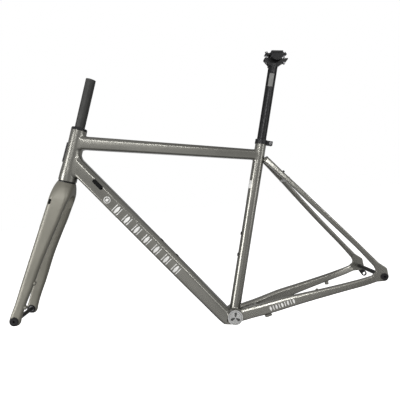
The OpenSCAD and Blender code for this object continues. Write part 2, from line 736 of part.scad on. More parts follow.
// Saddle clamp frame: origin on the tilt axis, between the rails; X runs along the rails
clamp_at = seat_pt(post_height + 34, 1.5);
cradle_r = 20;
rail_y = 22;
rail_r = 3.5;
bolt_x = 26.5;
clamp_half = 17;
nut_r = 3.4;
nut_z = -20.5;
module at_clamp(tilt = saddle_tilt) translate(clamp_at) rotate([0, tilt, 0]) children();
module seatpost_head() {
  arm_w = 24;
  color(black) difference() {
    union() {
      on_seat_axis() translate([0, 0, post_height]) cylinder(h = 9, r = post_r);
      at_clamp() translate([0, arm_w / 2, 0]) rotate([90, 0, 0]) linear_extrude(arm_w)
        polygon([[-20, -27], [-22, -33], [4, -35], [10, -29], [20, -21.5], [34, -14], [36, -9], [17, -10], [-17, -10],
                 [-33, -8], [-33.5, -12], [-26, -20]]);
    }
    on_seat_axis() translate([0, 0, post_height - 20]) cylinder(h = 20, r = 40);
    at_clamp() {
      along_y(-30, 30, cradle_r + running);
      for (s = [-1, 1]) translate([s * bolt_x - 6.5, -3.8, -40]) cube([13, 7.6, 35]);
    }
  }
}
module rails(r) for (s = [-1, 1]) translate([-40, s * rail_y, 0]) rotate([0, 90, 0])
  cylinder(h = 80, r = r);
module saddle_cradle() color(black) at_clamp() difference() {
  intersection() {
    along_y(-28, 28, cradle_r);
    translate([-clamp_half, -28, -30]) cube([2 * clamp_half, 56, 29.6]);
  }
  translate([-20, -15, -8]) cube([40, 30, 20]);
  rails(rail_r);
}
module saddle_clamp_top() color(black) at_clamp() difference() {
  union() {
    translate([-clamp_half, -28, 0.4]) cube([2 * clamp_half, 56, 6.6]);
    translate([0, 7, 0]) rotate([90, 0, 0]) linear_extrude(14)
      polygon([[-33, 1], [-30, 6.5], [-17, 7], [17, 7], [30, 9], [33.5, 4], [17, 0.4], [-17, 0.4]]);
  }
  rails(rail_r);
  for (s = [-1, 1]) translate([s * bolt_x, 0, -10]) cylinder(h = 30, r = 2.6);
  translate([-10, -12, -1]) cube([20, 4, 12]);
  translate([-10, 8, -1]) cube([20, 4, 12]);
}
module saddle_clamp_bolts() color(steel) at_clamp() for (s = [-1, 1])
  translate([s * bolt_x, 0, 0]) difference() {
  union() {
    translate([0, 0, nut_z - 3]) cylinder(h = 9 - nut_z + 3, r = 2.5);
    translate([0, 0, 9.3]) cylinder(h = 2.7, r = 4.2);
  }
  translate([0, 0, 10]) cylinder(h = 4, r = 2, $fn = 6);
}
module saddle_barrel_nuts() color(steel) at_clamp() for (s = [-1, 1])
  translate([s * bolt_x, 0, nut_z]) difference() {
  along_y(-3.4, 3.4, nut_r);
  translate([0, 0, -6]) cylinder(h = 12, r = 2.5);
}

head_tube();
top_tube();
down_tube();
seat_tube();
bb_shell();
bb_foot();
chainstay_left();
chainstay_right();
seatstay_left();
seatstay_right();
chainstay_bridge();
seatstay_bridge();
dropout_left();
dropout_right();
derailleur_hanger();
hanger_bolt();
bottle_bosses_down_tube();
bottle_bosses_seat_tube();
bottle_bosses_underside();
cable_port_left();
cable_port_right();
cable_guide_chainstay();
hose_clips();
rack_bolts();
head_badge();
upper_bearing_race();
upper_bearing_balls();
lower_bearing_race();
lower_bearing_balls();
seat_collar();
collar_bolt();
collar_nut();
steerer_tube();
fork_crown();
fork_leg_left();
fork_leg_right();
fork_brake_posts();
fork_end_left();
fork_end_right();
fork_end_nut();
fork_hose_port();
crown_race();
lower_inner_race();
upper_inner_race();
compression_ring();
headset_cover();
headset_seal();
seatpost_tube();
seatpost_head();
saddle_cradle();
saddle_clamp_top();
saddle_clamp_bolts();
saddle_barrel_nuts();
front_axle();
rear_axle();
bb_cap();
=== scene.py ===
"""Looks of a gravel bicycle frameset: painted tubes with smooth welds, a moulded fork, black fittings.

Stations and profiles are in millimetres, as in the design, and MM turns them into the scene's metres.
"""
import json
import math

import bmesh
import bpy
import numpy as np
from mathutils import Matrix, Vector
from mathutils.bvhtree import BVHTree


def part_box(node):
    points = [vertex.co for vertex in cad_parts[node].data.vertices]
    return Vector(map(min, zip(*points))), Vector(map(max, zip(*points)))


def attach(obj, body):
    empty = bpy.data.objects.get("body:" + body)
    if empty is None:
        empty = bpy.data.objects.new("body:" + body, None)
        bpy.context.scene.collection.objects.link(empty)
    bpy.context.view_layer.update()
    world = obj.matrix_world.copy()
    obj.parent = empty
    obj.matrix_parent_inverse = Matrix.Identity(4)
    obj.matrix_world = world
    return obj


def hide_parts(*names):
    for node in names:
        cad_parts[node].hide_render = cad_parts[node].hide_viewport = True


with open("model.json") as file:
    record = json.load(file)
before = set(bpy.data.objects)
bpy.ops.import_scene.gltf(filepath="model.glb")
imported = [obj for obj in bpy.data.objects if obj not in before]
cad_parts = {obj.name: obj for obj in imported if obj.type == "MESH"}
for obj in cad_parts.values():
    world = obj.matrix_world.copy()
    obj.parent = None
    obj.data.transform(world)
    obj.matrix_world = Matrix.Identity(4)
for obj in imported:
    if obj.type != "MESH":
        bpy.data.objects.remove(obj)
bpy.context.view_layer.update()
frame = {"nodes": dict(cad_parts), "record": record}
MM = 0.001
RECORD = frame["record"]
JOINTS = {joint["name"]: joint for joint in RECORD["behaviour"]["joints"]}
SIDE = np.array([0.0, 1.0, 0.0])


# ---- Reference lines, from the record ----

def unit(v):
    """A direction of length one."""
    return np.asarray(v, float) / np.linalg.norm(v)


def plane_back(direction):
    """The direction square to a rising line in the frame's plane, towards the rear wheel."""
    return np.array([direction[2], 0.0, -direction[0]])


def plane_up(direction):
    """The direction square to a rearward line in the frame's plane, upwards."""
    return np.array([-direction[2], 0.0, direction[0]])


def centre_of(node):
    """The middle of a node's box, moved into the frame's middle plane."""
    low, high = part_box(node)
    return np.array([(low[0] + high[0]) / 2, 0.0, (low[2] + high[2]) / 2])


STEER_DIR = unit(JOINTS["fork_steer"]["axis"])
STEER_BACK = plane_back(STEER_DIR)
STEER_PIVOT = np.array(JOINTS["fork_steer"]["pos_m"])
STEER_FOOT = STEER_PIVOT - STEER_DIR * STEER_PIVOT[2] / STEER_DIR[2]
SEAT_DIR = unit(JOINTS["seatpost_height"]["axis"])
SEAT_BACK = plane_back(SEAT_DIR)
REAR_AXLE = centre_of("rear_axle")
FRONT_AXLE = centre_of("front_axle")
DOWN_FRONT = np.array([-420.2, 0, 509.7]) * MM
DOWN_BACK = np.array([-19.0, 0, -8.0]) * MM
DOWN_DIR = unit(DOWN_BACK - DOWN_FRONT)
DOWN_UP = plane_up(DOWN_DIR)
DOWN_SPAN = np.linalg.norm(DOWN_BACK - DOWN_FRONT) / MM


def steer(along, off=0.0, y=0.0):
    """A place from the steering axis: along it, behind it and to the right."""
    return STEER_FOOT + (along * STEER_DIR + off * STEER_BACK + y * SIDE) * MM


def seat(along, off=0.0, y=0.0):
    """A place from the seat tube's axis: along it, behind it and to the right."""
    return (along * SEAT_DIR + off * SEAT_BACK + y * SIDE) * MM


def down(along, up=0.0, y=0.0):
    """A place from the down tube's axis: along it from the front, above it and to the right."""
    return DOWN_FRONT + (along * DOWN_DIR + up * DOWN_UP + y * SIDE) * MM


# ---- Sizes, as in the design ----

HEAD_BOTTOM = 481.0
HEAD_TOP = 633.0
HEAD_RIM = 0.8
# [station, radius] of the head tube's outside
HEAD_TUBE = [(HEAD_BOTTOM, 26.4), (HEAD_BOTTOM + 14, 26.3), (HEAD_BOTTOM + 52, 24.4), (HEAD_TOP - 34, 22.9),
             (HEAD_TOP, 22.8)]
# [radius, station] of its bore, from the top race seat to the bottom one
HEAD_BORE = [(21.0, HEAD_TOP), (21.0, HEAD_TOP - 8), (19.5, HEAD_TOP - 9), (19.5, HEAD_BOTTOM + 9),
             (23.5, HEAD_BOTTOM + 8), (23.5, HEAD_BOTTOM)]

SEAT_R = 16.2
SEAT_TUBE_TOP = 526.0
POST_R = 13.6
SHELL_R = 21.0
SHELL_WIDTH = 68.0

TOP_FRONT = steer(596.2)
TOP_BACK = seat(481.5)
TOP_SPAN = np.linalg.norm(TOP_BACK - TOP_FRONT) / MM
# [station from the front, height, width]
TOP_TUBE = [(0, 38, 40), (90, 37, 40), (250, 34.5, 36), (TOP_SPAN - 60, 31, 32), (TOP_SPAN, 29.5, 30)]
DOWN_TUBE = [(0, 47.5, 42), (110, 47, 45), (240, 46.8, 48), (460, 46, 50), (560, 43.5, 54),
             (DOWN_SPAN - 20, 42, 56), (DOWN_SPAN, 38, 56)]
PORT_AT = 104.6
PORT_UP = 6.8
PORT_LENGTH = 39
PORT_HEIGHT = 12

# [x, z, distance from the middle plane, height, width]
CHAINSTAY = [(12, 1, 21, 34, 21), (45, 7, 24, 33.5, 21), (82, 13.5, 30, 33, 20), (118, 21, 36.5, 32.5, 19),
             (150, 28, 41, 31.5, 18.5), (205, 38, 48, 27.5, 17.5), (270, 49.4, 57, 23.5, 16),
             (335, 61, 66, 21, 15), (372, 68, 71, 21, 12), (404, 75.5, 75, 21, 8)]
SEATSTAY = [(142, 452, 11, 18, 15), (160, 429.5, 17.5, 16.5, 15), (182, 401.5, 25.5, 15, 14),
            (205, 373, 33.5, 14, 14), (260, 303, 51, 14, 14), (315, 234, 64, 14, 13.5),
            (370, 166, 72, 14, 12), (411, 113, 75, 17, 8)]
CHAINSTAY_UP = unit([-0.2, 0, 1])
SEATSTAY_UP = unit([0.78, 0, 0.62])
DROPOUT_INNER = 71.0
DROPOUT_THICKNESS = 8.0
DROPOUT_BORE_R = 6.05
SUNK_RINGS = 6
WELD_THROAT = 0.4

CROWN_TOP = 477.5
ARCH_DROP = 64
ARCH_R = 28.5
ARCH_REACH = 60
STEERER_BORE_R = 16.4
FORK_END_BORE_R = 12.4
# [station, front, rear, inner, outer, nose radius, tail radius]; the crown's rings reach across both sides
CROWN = [(CROWN_TOP, -25.6, 25.6, -25.6, 25.6, 25.5, 25.5), (CROWN_TOP - 4, -27, 26.4, -28, 28, 26, 25),
         (CROWN_TOP - 14, -29.2, 26.8, -34, 34, 25, 22), (CROWN_TOP - 26, -30.4, 26.8, -38.5, 38.5, 22, 18),
         (CROWN_TOP - 40, -30.9, 25.4, -42.3, 42.3, 18, 13),
         (CROWN_TOP - 53, -31, 23.2, -44.6, 44.6, 15.5, 10), (CROWN_TOP - 77.5, -31.3, 19, -47, 47, 14, 8)]
LEG = [(402, -31.3, 19.2, 28.5, 46.8, 14, 8), (366, -33.7, 14.5, 28.5, 48.5, 14, 8),
       (320, -37, 7, 29.5, 50, 14, 8), (250, -41, -3.5, 34.5, 54.5, 13.5, 8),
       (170, -45, -11, 42.5, 60.5, 12.5, 7.4), (110, -48, -18, 48, 64, 11, 7),
       (84, -50.2, -19.6, 50, 66, 9, 6.5), (70, -51, -19, 50, 66, 8, 6.5),
       (62, -48.6, -21.4, 50, 66, 7, 6.5), (57.6, -43.6, -26.4, 50, 66, 7, 6.5)]
FORK_PORT_AT = steer(415.3, -22, -44.6)
FORK_PORT_R = 3.2
FORK_PORT_REACH = 4.5
FORK_PORT_LEAN = 20
FORK_PORT_TURN = -28

PRINT_LIFT = 0.12
PRINT_SINK = 0.4
PRINT_DROP = 80
MARK_FIRST = 155.7
MARK_STEP = 40.4
MARK_COUNT = 8
MARK_UP = -5.5
MARK_HEIGHT = 25
STAY_MARK_START = np.array([104, 0, 16.5]) * MM
STAY_MARK_DIR = unit([1, 0, 0.235])
STAY_MARK_STEP = 8.6
STAY_MARK_COUNT = 9

FLOOR_BELOW_AXLE = 340


# ---- Meshes ----

def from_bmesh(name, bm, smooth=True, sharp_deg=None):
    """An object from a bmesh, with its edges above an angle marked sharp."""
    bmesh.ops.recalc_face_normals(bm, faces=bm.faces)
    for face in bm.faces:
        face.smooth = smooth
    if sharp_deg is not None:
        for edge in bm.edges:
            if len(edge.link_faces) == 2 and edge.calc_face_angle() > math.radians(sharp_deg):
                edge.smooth = False
    mesh = bpy.data.meshes.new(name)
    bm.to_mesh(mesh)
    bm.free()
    piece = bpy.data.objects.new(name, mesh)
    bpy.context.scene.collection.objects.link(piece)
    return piece


def add_skin(bm, rings):
    """Adds a closed solid through rings of points, with a flat face at either end."""
    rows = [[bm.verts.new(point) for point in ring] for ring in rings]
    count = len(rows[0])
    for low, high in zip(rows, rows[1:]):
        for i in range(count):
            j = (i + 1) % count
            bm.faces.new((low[i], low[j], high[j], high[i]))
    bm.faces.new(rows[0][::-1])
    bm.faces.new(rows[-1])


def skinned(name, rings, sharp_deg=None):
    """An object through rings of points."""
    bm = bmesh.new()
    add_skin(bm, rings)
    return from_bmesh(name, bm, sharp_deg=sharp_deg)


def add_lathe(bm, origin, axis, profile, steps):
    """Adds a closed profile of (radius, height) in millimetres, turned about an axis."""
    axis = unit(axis)
    x = unit(np.cross(axis, SIDE) if abs(axis[1]) < 0.9 else np.array([1.0, 0, 0]))
    y = np.cross(axis, x)
    rows = []
    for turn in np.linspace(0, 2 * math.pi, steps, endpoint=False):
        spoke = x * math.cos(turn) + y * math.sin(turn)
        rows.append([bm.verts.new(origin + (r * spoke + height * axis) * MM) for r, height in profile])
    for k in range(steps):
        here, there = rows[k], rows[(k + 1) % steps]
        for i in range(len(profile)):
            j = (i + 1) % len(profile)
            bm.faces.new((here[i], there[i], there[j], here[j]))


def lathe(name, origin, axis, profile, steps, sharp_deg=None):
    """An object from a closed profile that is turned about an axis."""
    bm = bmesh.new()
    add_lathe(bm, origin, axis, profile, steps)
    return from_bmesh(name, bm, sharp_deg=sharp_deg)


def rod(name, foot, axis, radius, length, steps=64):
    """A cylinder from its foot along an axis; a hair-thin core keeps its ends as clean quads."""
    core = 0.001
    return lathe(name, foot, axis, [(core, 0), (radius, 0), (radius, length), (core, length)], steps)


def tree_of(piece):
    """A search tree over an object's mesh."""
    bm = bmesh.new()
    bm.from_mesh(piece.data)
    tree = BVHTree.FromBMesh(bm)
    bm.free()
    return tree


def tree_through(rings):
    """A search tree over the solid through rings of points."""
    bm = bmesh.new()
    add_skin(bm, rings)
    bmesh.ops.recalc_face_normals(bm, faces=bm.faces)
    tree = BVHTree.FromBMesh(bm)
    bm.free()
    return tree


def bake(piece):
    """Applies a piece's modifiers to its mesh."""
    graph = bpy.context.evaluated_depsgraph_get()
    graph.update()
    mesh = bpy.data.meshes.new_from_object(piece.evaluated_get(graph))
    piece.modifiers.clear()
    piece.data = mesh


def boolean(piece, tool, operation):
    """Joins a tool to a piece or cuts it out, and removes the tool."""
    cut = piece.modifiers.new("cut", "BOOLEAN")
    cut.operation = operation
    cut.solver = "MANIFOLD"
    cut.object = tool
    bake(piece)
    bpy.data.objects.remove(tool, do_unlink=True)


def remesh(piece, voxel, rounds):
    """Fuses a piece into one skin, then relaxes it so that inner corners turn into fillets."""
    fuse = piece.modifiers.new("fuse", "REMESH")
    fuse.mode = "VOXEL"
    fuse.voxel_size = voxel * MM
    fuse.use_smooth_shade = True
    relax = piece.modifiers.new("relax", "SMOOTH")
    relax.factor = 0.5
    relax.iterations = rounds
    bake(piece)


def mark_sharp(piece, degrees):
    """Smooth shading with sharp edges above an angle."""
    for face in piece.data.polygons:
        face.use_smooth = True
    piece.data.set_sharp_from_angle(angle=math.radians(degrees))


def dress(piece, body, slot, *nodes):
    """Puts a piece on its body, gives it its finish, and hides the nodes it stands for."""
    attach(piece, body)
    piece.data.materials.clear()
    piece.data.materials.append(FINISH[slot])
    if nodes:
        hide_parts(*nodes)
    return piece


# ---- Tube sections ----

def smooth_rows(rows, step):
    """Rows with a rising first column, refilled every step along it by monotone cubics."""
    rows = np.array(rows, float)
    x = rows[:, 0]
    span = np.diff(x)
    slope = np.diff(rows, axis=0) / span[:, None]
    bend = np.zeros_like(rows)
    bend[0], bend[-1] = slope[0], slope[-1]
    for k in range(1, len(x) - 1):
        same = slope[k - 1] * slope[k] > 0
        before, after = 2 * span[k] + span[k - 1], span[k] + 2 * span[k - 1]
        with np.errstate(divide="ignore", invalid="ignore"):
            mean = (before + after) / (before / slope[k - 1] + after / slope[k])
        bend[k] = np.where(same, mean, 0.0)
    out = []
    for at in np.linspace(x[0], x[-1], max(2, int(round((x[-1] - x[0]) / step)) + 1)):
        k = min(np.searchsorted(x, at, side="right") - 1, len(span) - 1)
        s = (at - x[k]) / span[k]
        out.append((2 * s**3 - 3 * s**2 + 1) * rows[k] + (s**3 - 2 * s**2 + s) * span[k] * bend[k]
                   + (3 * s**2 - 2 * s**3) * rows[k + 1] + (s**3 - s**2) * span[k] * bend[k + 1])
    return out


def corner(before, at, after, radius, arc=6):
    """Points of a round corner, from the side of the point before it to that of the one after it."""
    u, v = unit(before - at), unit(after - at)
    half = math.acos(np.clip(u @ v, -1, 1)) / 2
    turn = math.pi - 2 * half
    centre = at + unit(u + v) * radius / math.sin(half)
    first = at + u * radius / math.tan(half) - centre
    last = at + v * radius / math.tan(half) - centre
    return [centre + (first * math.sin((1 - t) * turn) + last * math.sin(t * turn)) / math.sin(turn)
            for t in np.linspace(0, 1, arc + 1)]


def rounded(points, radii):
    """An outline with round corners; one radius for all of them, or one each."""
    points = [np.array(point, float) for point in points]
    outline = []
    for i, radius in enumerate(np.broadcast_to(radii, len(points))):
        outline += corner(points[i - 1], points[i], points[(i + 1) % len(points)], radius)
    return outline


def tube_outline(height, width, radius):
    """Flat sides, and a crown that narrows above a ridge line; (up, side) pairs."""
    foot, ridge, top = -height / 2, 0.26 * height, height / 2
    flank, crown = width / 2, 0.31 * width
    points = [(foot, -flank), (foot, flank), (ridge, flank), (top, crown), (top, -crown), (ridge, -flank)]
    return rounded(points, min(radius, 0.3 * height, 0.3 * width))


def placed(outline, at, up, across=SIDE):
    """An outline of (up, side) pairs in millimetres, laid out round a place."""
    return [at + (u * up + s * across) * MM for u, s in outline]


def tube_rings(start, direction, stations, radius, step):
    """Rings of a straight tube."""
    up = plane_up(direction)
    return np.array([placed(tube_outline(height, width, radius), start + along * direction * MM, up)
                     for along, height, width in smooth_rows(stations, step)])


def stay_rings(route, up, radius, side, step=5.0):
    """Rings of a stay on one side of the wheel."""
    across = side * SIDE
    rings = []
    for x, z, y, height, width in smooth_rows(route, step):
        centre = (np.array([x, 0, z]) + y * across) * MM
        rings.append(placed(tube_outline(height, width, radius), centre, up, across))
    return np.array(rings)


# ---- Joining tubes: trimmed ends and weld fillets ----

def hit_along(line, tree, at_end):
    """Where a line of points first meets the tree, walking from its middle to one end.

    The answer is the place in steps along the line, the point, and the normal of the surface there.
    """
    turn = 1 if at_end else -1
    last = len(line) - 1 if at_end else 0
    for k in range(len(line) // 2, last, turn):
        step = line[k + turn] - line[k]
        length = np.linalg.norm(step)
        where, normal, _, distance = tree.ray_cast(Vector(line[k]), Vector(step).normalized(), length)
        if where is not None:
            return k + turn * distance / length, np.array(where), np.array(normal)
    return None


def trimmed(rings, start_tree, end_tree=None, inset=1.0):
    """Rings whose lines stop just inside the solids at either end, and those meeting points."""
    lines = np.transpose(rings, (1, 0, 2))
    stations = np.arange(len(rings))
    step = np.linalg.norm(rings[1].mean(axis=0) - rings[0].mean(axis=0)) / MM
    start_hits = [hit_along(line, start_tree, False) for line in lines]
    end_hits = [hit_along(line, end_tree, True) if end_tree else None for line in lines]
    cut = []
    for line, start, end in zip(lines, start_hits, end_hits):
        low = max(0.0, start[0] - inset / step) if start else 0.0
        high = min(stations[-1], end[0] + inset / step) if end else stations[-1]
        places = np.linspace(low, high, len(stations))
        cut.append(np.column_stack([np.interp(places, stations, line[:, axis]) for axis in range(3)]))
    return np.transpose(np.array(cut), (1, 0, 2)), start_hits, end_hits


def weld_curve(line, rings, hit, tree, size, at_end):
    """One line across a weld: from the tube's side, round the inner corner, to the surface it meets."""
    place, meeting, normal = hit
    last = len(line) - 1
    inward = -2 if at_end else 2  # steps along the line, away from the joint
    ahead = line[int(np.clip(round(place + inward), 0, last))]
    middle = rings[int(np.clip(round(place), 0, last))].mean(axis=0)
    along = unit(ahead - meeting)
    out = unit((meeting - middle) - along * ((meeting - middle) @ along))
    if normal @ along < 0:
        normal = -normal
    reach = unit(out - normal * (out @ normal))
    nearest = tree.find_nearest(Vector(meeting + reach * size * MM))[0]
    edge = np.array(nearest) if nearest is not None else meeting
    top = meeting + along * size * MM
    throat = meeting - along * WELD_THROAT * MM
    return [(1 - t) ** 2 * top + 2 * t * (1 - t) * throat + t * t * edge for t in np.linspace(0, 1, 9)]


def fillet(name, rings, hits, tree, size, at_end=False):
    """A smooth concave weld between a tube's lines and the surface that they meet."""
    bm = bmesh.new()
    rows = []
    for line, hit in zip(np.transpose(rings, (1, 0, 2)), hits):
        curve = weld_curve(line, rings, hit, tree, size, at_end) if hit else []
        rows.append([bm.verts.new(point) for point in curve])
    for i, there in enumerate(rows):
        here = rows[i - 1]
        for j in range(min(len(here), len(there)) - 1):
            bm.faces.new((here[j], here[j + 1], there[j + 1], there[j]))
    bmesh.ops.remove_doubles(bm, verts=bm.verts, dist=0.02 * MM)
    piece = from_bmesh(name, bm)
    middle = Vector(rings[len(rings) // 2].mean(axis=0))
    if sum((face.normal @ (face.center - middle)) * face.area for face in piece.data.polygons) < 0:
        piece.data.flip_normals()
    dress(piece, "frame", "frame_paint")


# ---- Materials ----

def new_material(name, color, metallic, roughness):
    """A material with its shader set; the tree and the shader come back with it."""
    mat = bpy.data.materials.new(name)
    mat.use_nodes = True
    shader = mat.node_tree.nodes["Principled BSDF"]
    shader.inputs["Base Color"].default_value = (*color, 1)
    shader.inputs["Metallic"].default_value = metallic
    shader.inputs["Roughness"].default_value = roughness
    return mat, mat.node_tree, shader


def grain(tree, scale, detail, stretch=(1, 1, 1)):
    """Noise over the object's own coordinates."""
    place = tree.nodes.new("ShaderNodeTexCoord")
    mapping = tree.nodes.new("ShaderNodeMapping")
    mapping.inputs["Scale"].default_value = stretch
    noise = tree.nodes.new("ShaderNodeTexNoise")
    noise.inputs["Scale"].default_value = scale
    noise.inputs["Detail"].default_value = detail
    tree.links.new(place.outputs["Object"], mapping.inputs["Vector"])
    tree.links.new(mapping.outputs["Vector"], noise.inputs["Vector"])
    return noise.outputs["Fac"]


def spread(tree, noise, low, high):
    """Maps the usual values of a noise onto a range."""
    ranged = tree.nodes.new("ShaderNodeMapRange")
    ranged.inputs["From Min"].default_value = 0.35
    ranged.inputs["From Max"].default_value = 0.65
    ranged.inputs["To Min"].default_value = low
    ranged.inputs["To Max"].default_value = high
    tree.links.new(noise, ranged.inputs["Value"])
    return ranged.outputs["Result"]


def tint(tree, shader, noise, color, darker, lighter):
    """Varies the base colour by a noise, between a darker and a lighter share of it."""
    mix = tree.nodes.new("ShaderNodeMix")
    mix.data_type = "RGBA"
    mix.inputs["A"].default_value = (*(darker * c for c in color), 1)
    mix.inputs["B"].default_value = (*(lighter * c for c in color), 1)
    tree.links.new(spread(tree, noise, 0, 1), mix.inputs["Factor"])
    tree.links.new(mix.outputs["Result"], shader.inputs["Base Color"])


def rough(tree, shader, noise, smoother, rougher):
    """Varies the roughness by a noise, from a little under its value to a little over."""
    roughness = shader.inputs["Roughness"]
    value = roughness.default_value
    tree.links.new(spread(tree, noise, value - smoother, value + rougher), roughness)


def bump(tree, shader, noise, strength, distance):
    """Raises the surface by a noise; the distance is in metres."""
    node = tree.nodes.new("ShaderNodeBump")
    node.inputs["Strength"].default_value = strength
    node.inputs["Distance"].default_value = distance
    tree.links.new(noise, node.inputs["Height"])
    tree.links.new(node.outputs["Normal"], shader.inputs["Normal"])


def paint(name, color, metallic, roughness, coat, coat_roughness):
    """Metallic paint: fine flake, slow drift of tone, clear lacquer."""
    mat, tree, shader = new_material(name, color, metallic, roughness)
    shader.inputs["Coat Weight"].default_value = coat
    shader.inputs["Coat Roughness"].default_value = coat_roughness
    flake = grain(tree, scale=2200, detail=2)
    drift = grain(tree, scale=14, detail=3)
    tint(tree, shader, drift, color, darker=0.92, lighter=1.06)
    rough(tree, shader, flake, smoother=0.03, rougher=0.04)
    bump(tree, shader, flake, strength=0.015, distance=0.00006)
    return mat


def metal(name, color, roughness, metallic=1.0, stretch=(1, 1, 1)):
    """Worked metal: fine lines and light wear."""
    mat, tree, shader = new_material(name, color, metallic, roughness)
    lines = grain(tree, scale=900, detail=3, stretch=stretch)
    wear = grain(tree, scale=60, detail=5)
    tint(tree, shader, wear, color, darker=0.85, lighter=1.12)
    rough(tree, shader, lines, smoother=0.08, rougher=0.1)
    bump(tree, shader, lines, strength=0.15, distance=0.0001)
    return mat


def dull(name, color, roughness, specular=0.4):
    """Rubber, matt carbon and print: no metal, soft grain."""
    mat, tree, shader = new_material(name, color, 0.0, roughness)
    shader.inputs["Specular IOR Level"].default_value = specular
    fine = grain(tree, scale=1400, detail=4)
    wear = grain(tree, scale=45, detail=4)
    tint(tree, shader, wear, color, darker=0.85, lighter=1.15)
    rough(tree, shader, fine, smoother=0.06, rougher=0.08)
    bump(tree, shader, fine, strength=0.2, distance=0.00008)
    return mat


ALONG_Z = (1, 1, 0.08)
FINISH = {
    "frame_paint": paint("Frame paint", (0.23, 0.225, 0.201), metallic=0.8, roughness=0.25, coat=0.55,
                         coat_roughness=0.18),
    "fork_paint": paint("Fork paint", (0.208, 0.199, 0.166), metallic=0.4, roughness=0.43, coat=0.15,
                        coat_roughness=0.35),
    "steerer_charcoal": dull("Steerer carbon", (0.03, 0.03, 0.028), roughness=0.5),
    "seatpost_black": metal("Seatpost black", (0.01, 0.01, 0.011), roughness=0.32, metallic=0.5,
                            stretch=ALONG_Z),
    "black_anodised": metal("Black anodised", (0.018, 0.018, 0.019), roughness=0.32, metallic=0.5),
    "black_rubber": dull("Black rubber", (0.006, 0.006, 0.006), roughness=0.7, specular=0.1),
    "steel": metal("Steel", (0.35, 0.35, 0.36), roughness=0.3),
    "brushed_silver": metal("Brushed silver", (0.75, 0.75, 0.74), roughness=0.26),
    "print_pale": dull("Pale print", (0.74, 0.74, 0.72), roughness=0.45),
    "print_grey": dull("Grey print", (0.22, 0.22, 0.21), roughness=0.5),
    "print_dark": dull("Dark print", (0.06, 0.06, 0.058), roughness=0.5),
}


def dress_nodes():
    """Every node of the design takes the material of its slot in the record."""
    for part in RECORD["subparts"]:
        node = frame["nodes"][part["node"]]
        finish = FINISH[part["material_slot"]]
        if not node.material_slots:
            node.data.materials.append(finish)
        for slot in node.material_slots:
            slot.material = finish


# ---- Frame tubes ----

def build_head_tube():
    """The head tube's shell, with a small bevel at either rim."""
    outside = [(radius, station) for station, radius in smooth_rows(HEAD_TUBE, 6)]
    (low_r, low), (high_r, high) = outside[0], outside[-1]
    profile = [(low_r - HEAD_RIM, low), (low_r, low + HEAD_RIM), *outside[1:-1],
               (high_r, high - HEAD_RIM), (high_r - HEAD_RIM, high), *HEAD_BORE]
    piece = lathe("head_tube_shell", STEER_FOOT, STEER_DIR, profile, 128, sharp_deg=40)
    return dress(piece, "frame", "frame_paint", "head_tube")


def helper_tree(foot, axis, radius, length):
    """A search tree over a plain cylinder, which isn't kept."""
    helper = rod("helper", foot, axis, radius, length, 96)
    tree = tree_of(helper)
    bpy.data.objects.remove(helper, do_unlink=True)
    return tree


def build_top_tube(head_tree, seat_tree):
    """The top tube, welded at both ends."""
    rings = tube_rings(TOP_FRONT, unit(TOP_BACK - TOP_FRONT), TOP_TUBE, radius=7, step=6.0)
    tube, front_hits, back_hits = trimmed(rings, head_tree, seat_tree)
    dress(skinned("top_tube_shell", tube), "frame", "frame_paint", "top_tube")
    fillet("weld_top_tube_head", rings, front_hits, head_tree, size=12)
    fillet("weld_top_tube_seat", rings, back_hits, seat_tree, size=8, at_end=True)


def slot_outline(reach, radius, count):
    """A slot with round ends, as (along, across) pairs from its middle."""
    turns = np.linspace(-math.pi / 2, math.pi / 2, count)
    one_end = [(reach + radius * math.cos(a), radius * math.sin(a)) for a in turns]
    return one_end + [(-along, -across) for along, across in one_end]


def port_cutter(side):
    """The opening for a cable port in one side of the down tube."""
    outline = slot_outline((PORT_LENGTH - PORT_HEIGHT) / 2, PORT_HEIGHT / 2, 12)
    return skinned("port", [[down(PORT_AT + along, PORT_UP + up, side * depth) for along, up in outline]
                            for depth in (10, 40)])


def build_down_tube(head_tree, shell_tree):
    """The down tube with its two cable ports; its search tree is used for the printed marks."""
    rings = tube_rings(DOWN_FRONT, DOWN_DIR, DOWN_TUBE, radius=8, step=6.0)
    tube, front_hits, back_hits = trimmed(rings, head_tree, shell_tree)
    piece = skinned("down_tube_shell", tube)
    for side in (-1, 1):
        boolean(piece, port_cutter(side), "DIFFERENCE")
    mark_sharp(piece, 40)
    dress(piece, "frame", "frame_paint", "down_tube")
    fillet("weld_down_tube_head", rings, front_hits, head_tree, size=14)
    fillet("weld_down_tube_shell", rings, back_hits, shell_tree, size=9, at_end=True)
    return tree_through(rings)


def build_seat_weld(shell_tree):
    """The weld round the foot of the seat tube, which stays as the design's own node."""
    turns = np.linspace(0, 2 * math.pi, 64, endpoint=False)
    rings = np.array([[seat(along, SEAT_R * math.cos(a), SEAT_R * math.sin(a)) for a in turns]
                      for along in np.arange(0, 120, 4.0)])
    _, hits, _ = trimmed(rings, shell_tree)
    fillet("weld_seat_tube_shell", rings, hits, shell_tree, size=6)


def arc(x, z, radius, first, last, count):
    """Points on an arc between two angles in degrees."""
    return [(x + radius * math.cos(a), z + radius * math.sin(a))
            for a in np.radians(np.linspace(first, last, count))]


def dropout_outline():
    """Outline of a rear dropout in (x, z) from the axle: round the axle, and up to the seatstay."""
    return (arc(0, 0, 13.5, -100, 12, 16) + arc(1.5, 18, 10, 10, 50, 6) + arc(-17, 35, 8.5, 50, 215, 16)
            + [(-20.5, 19.5), (-22.5, 13), (-30, 8.5)] + arc(-26, -2, 10.5, 110, 255, 12))


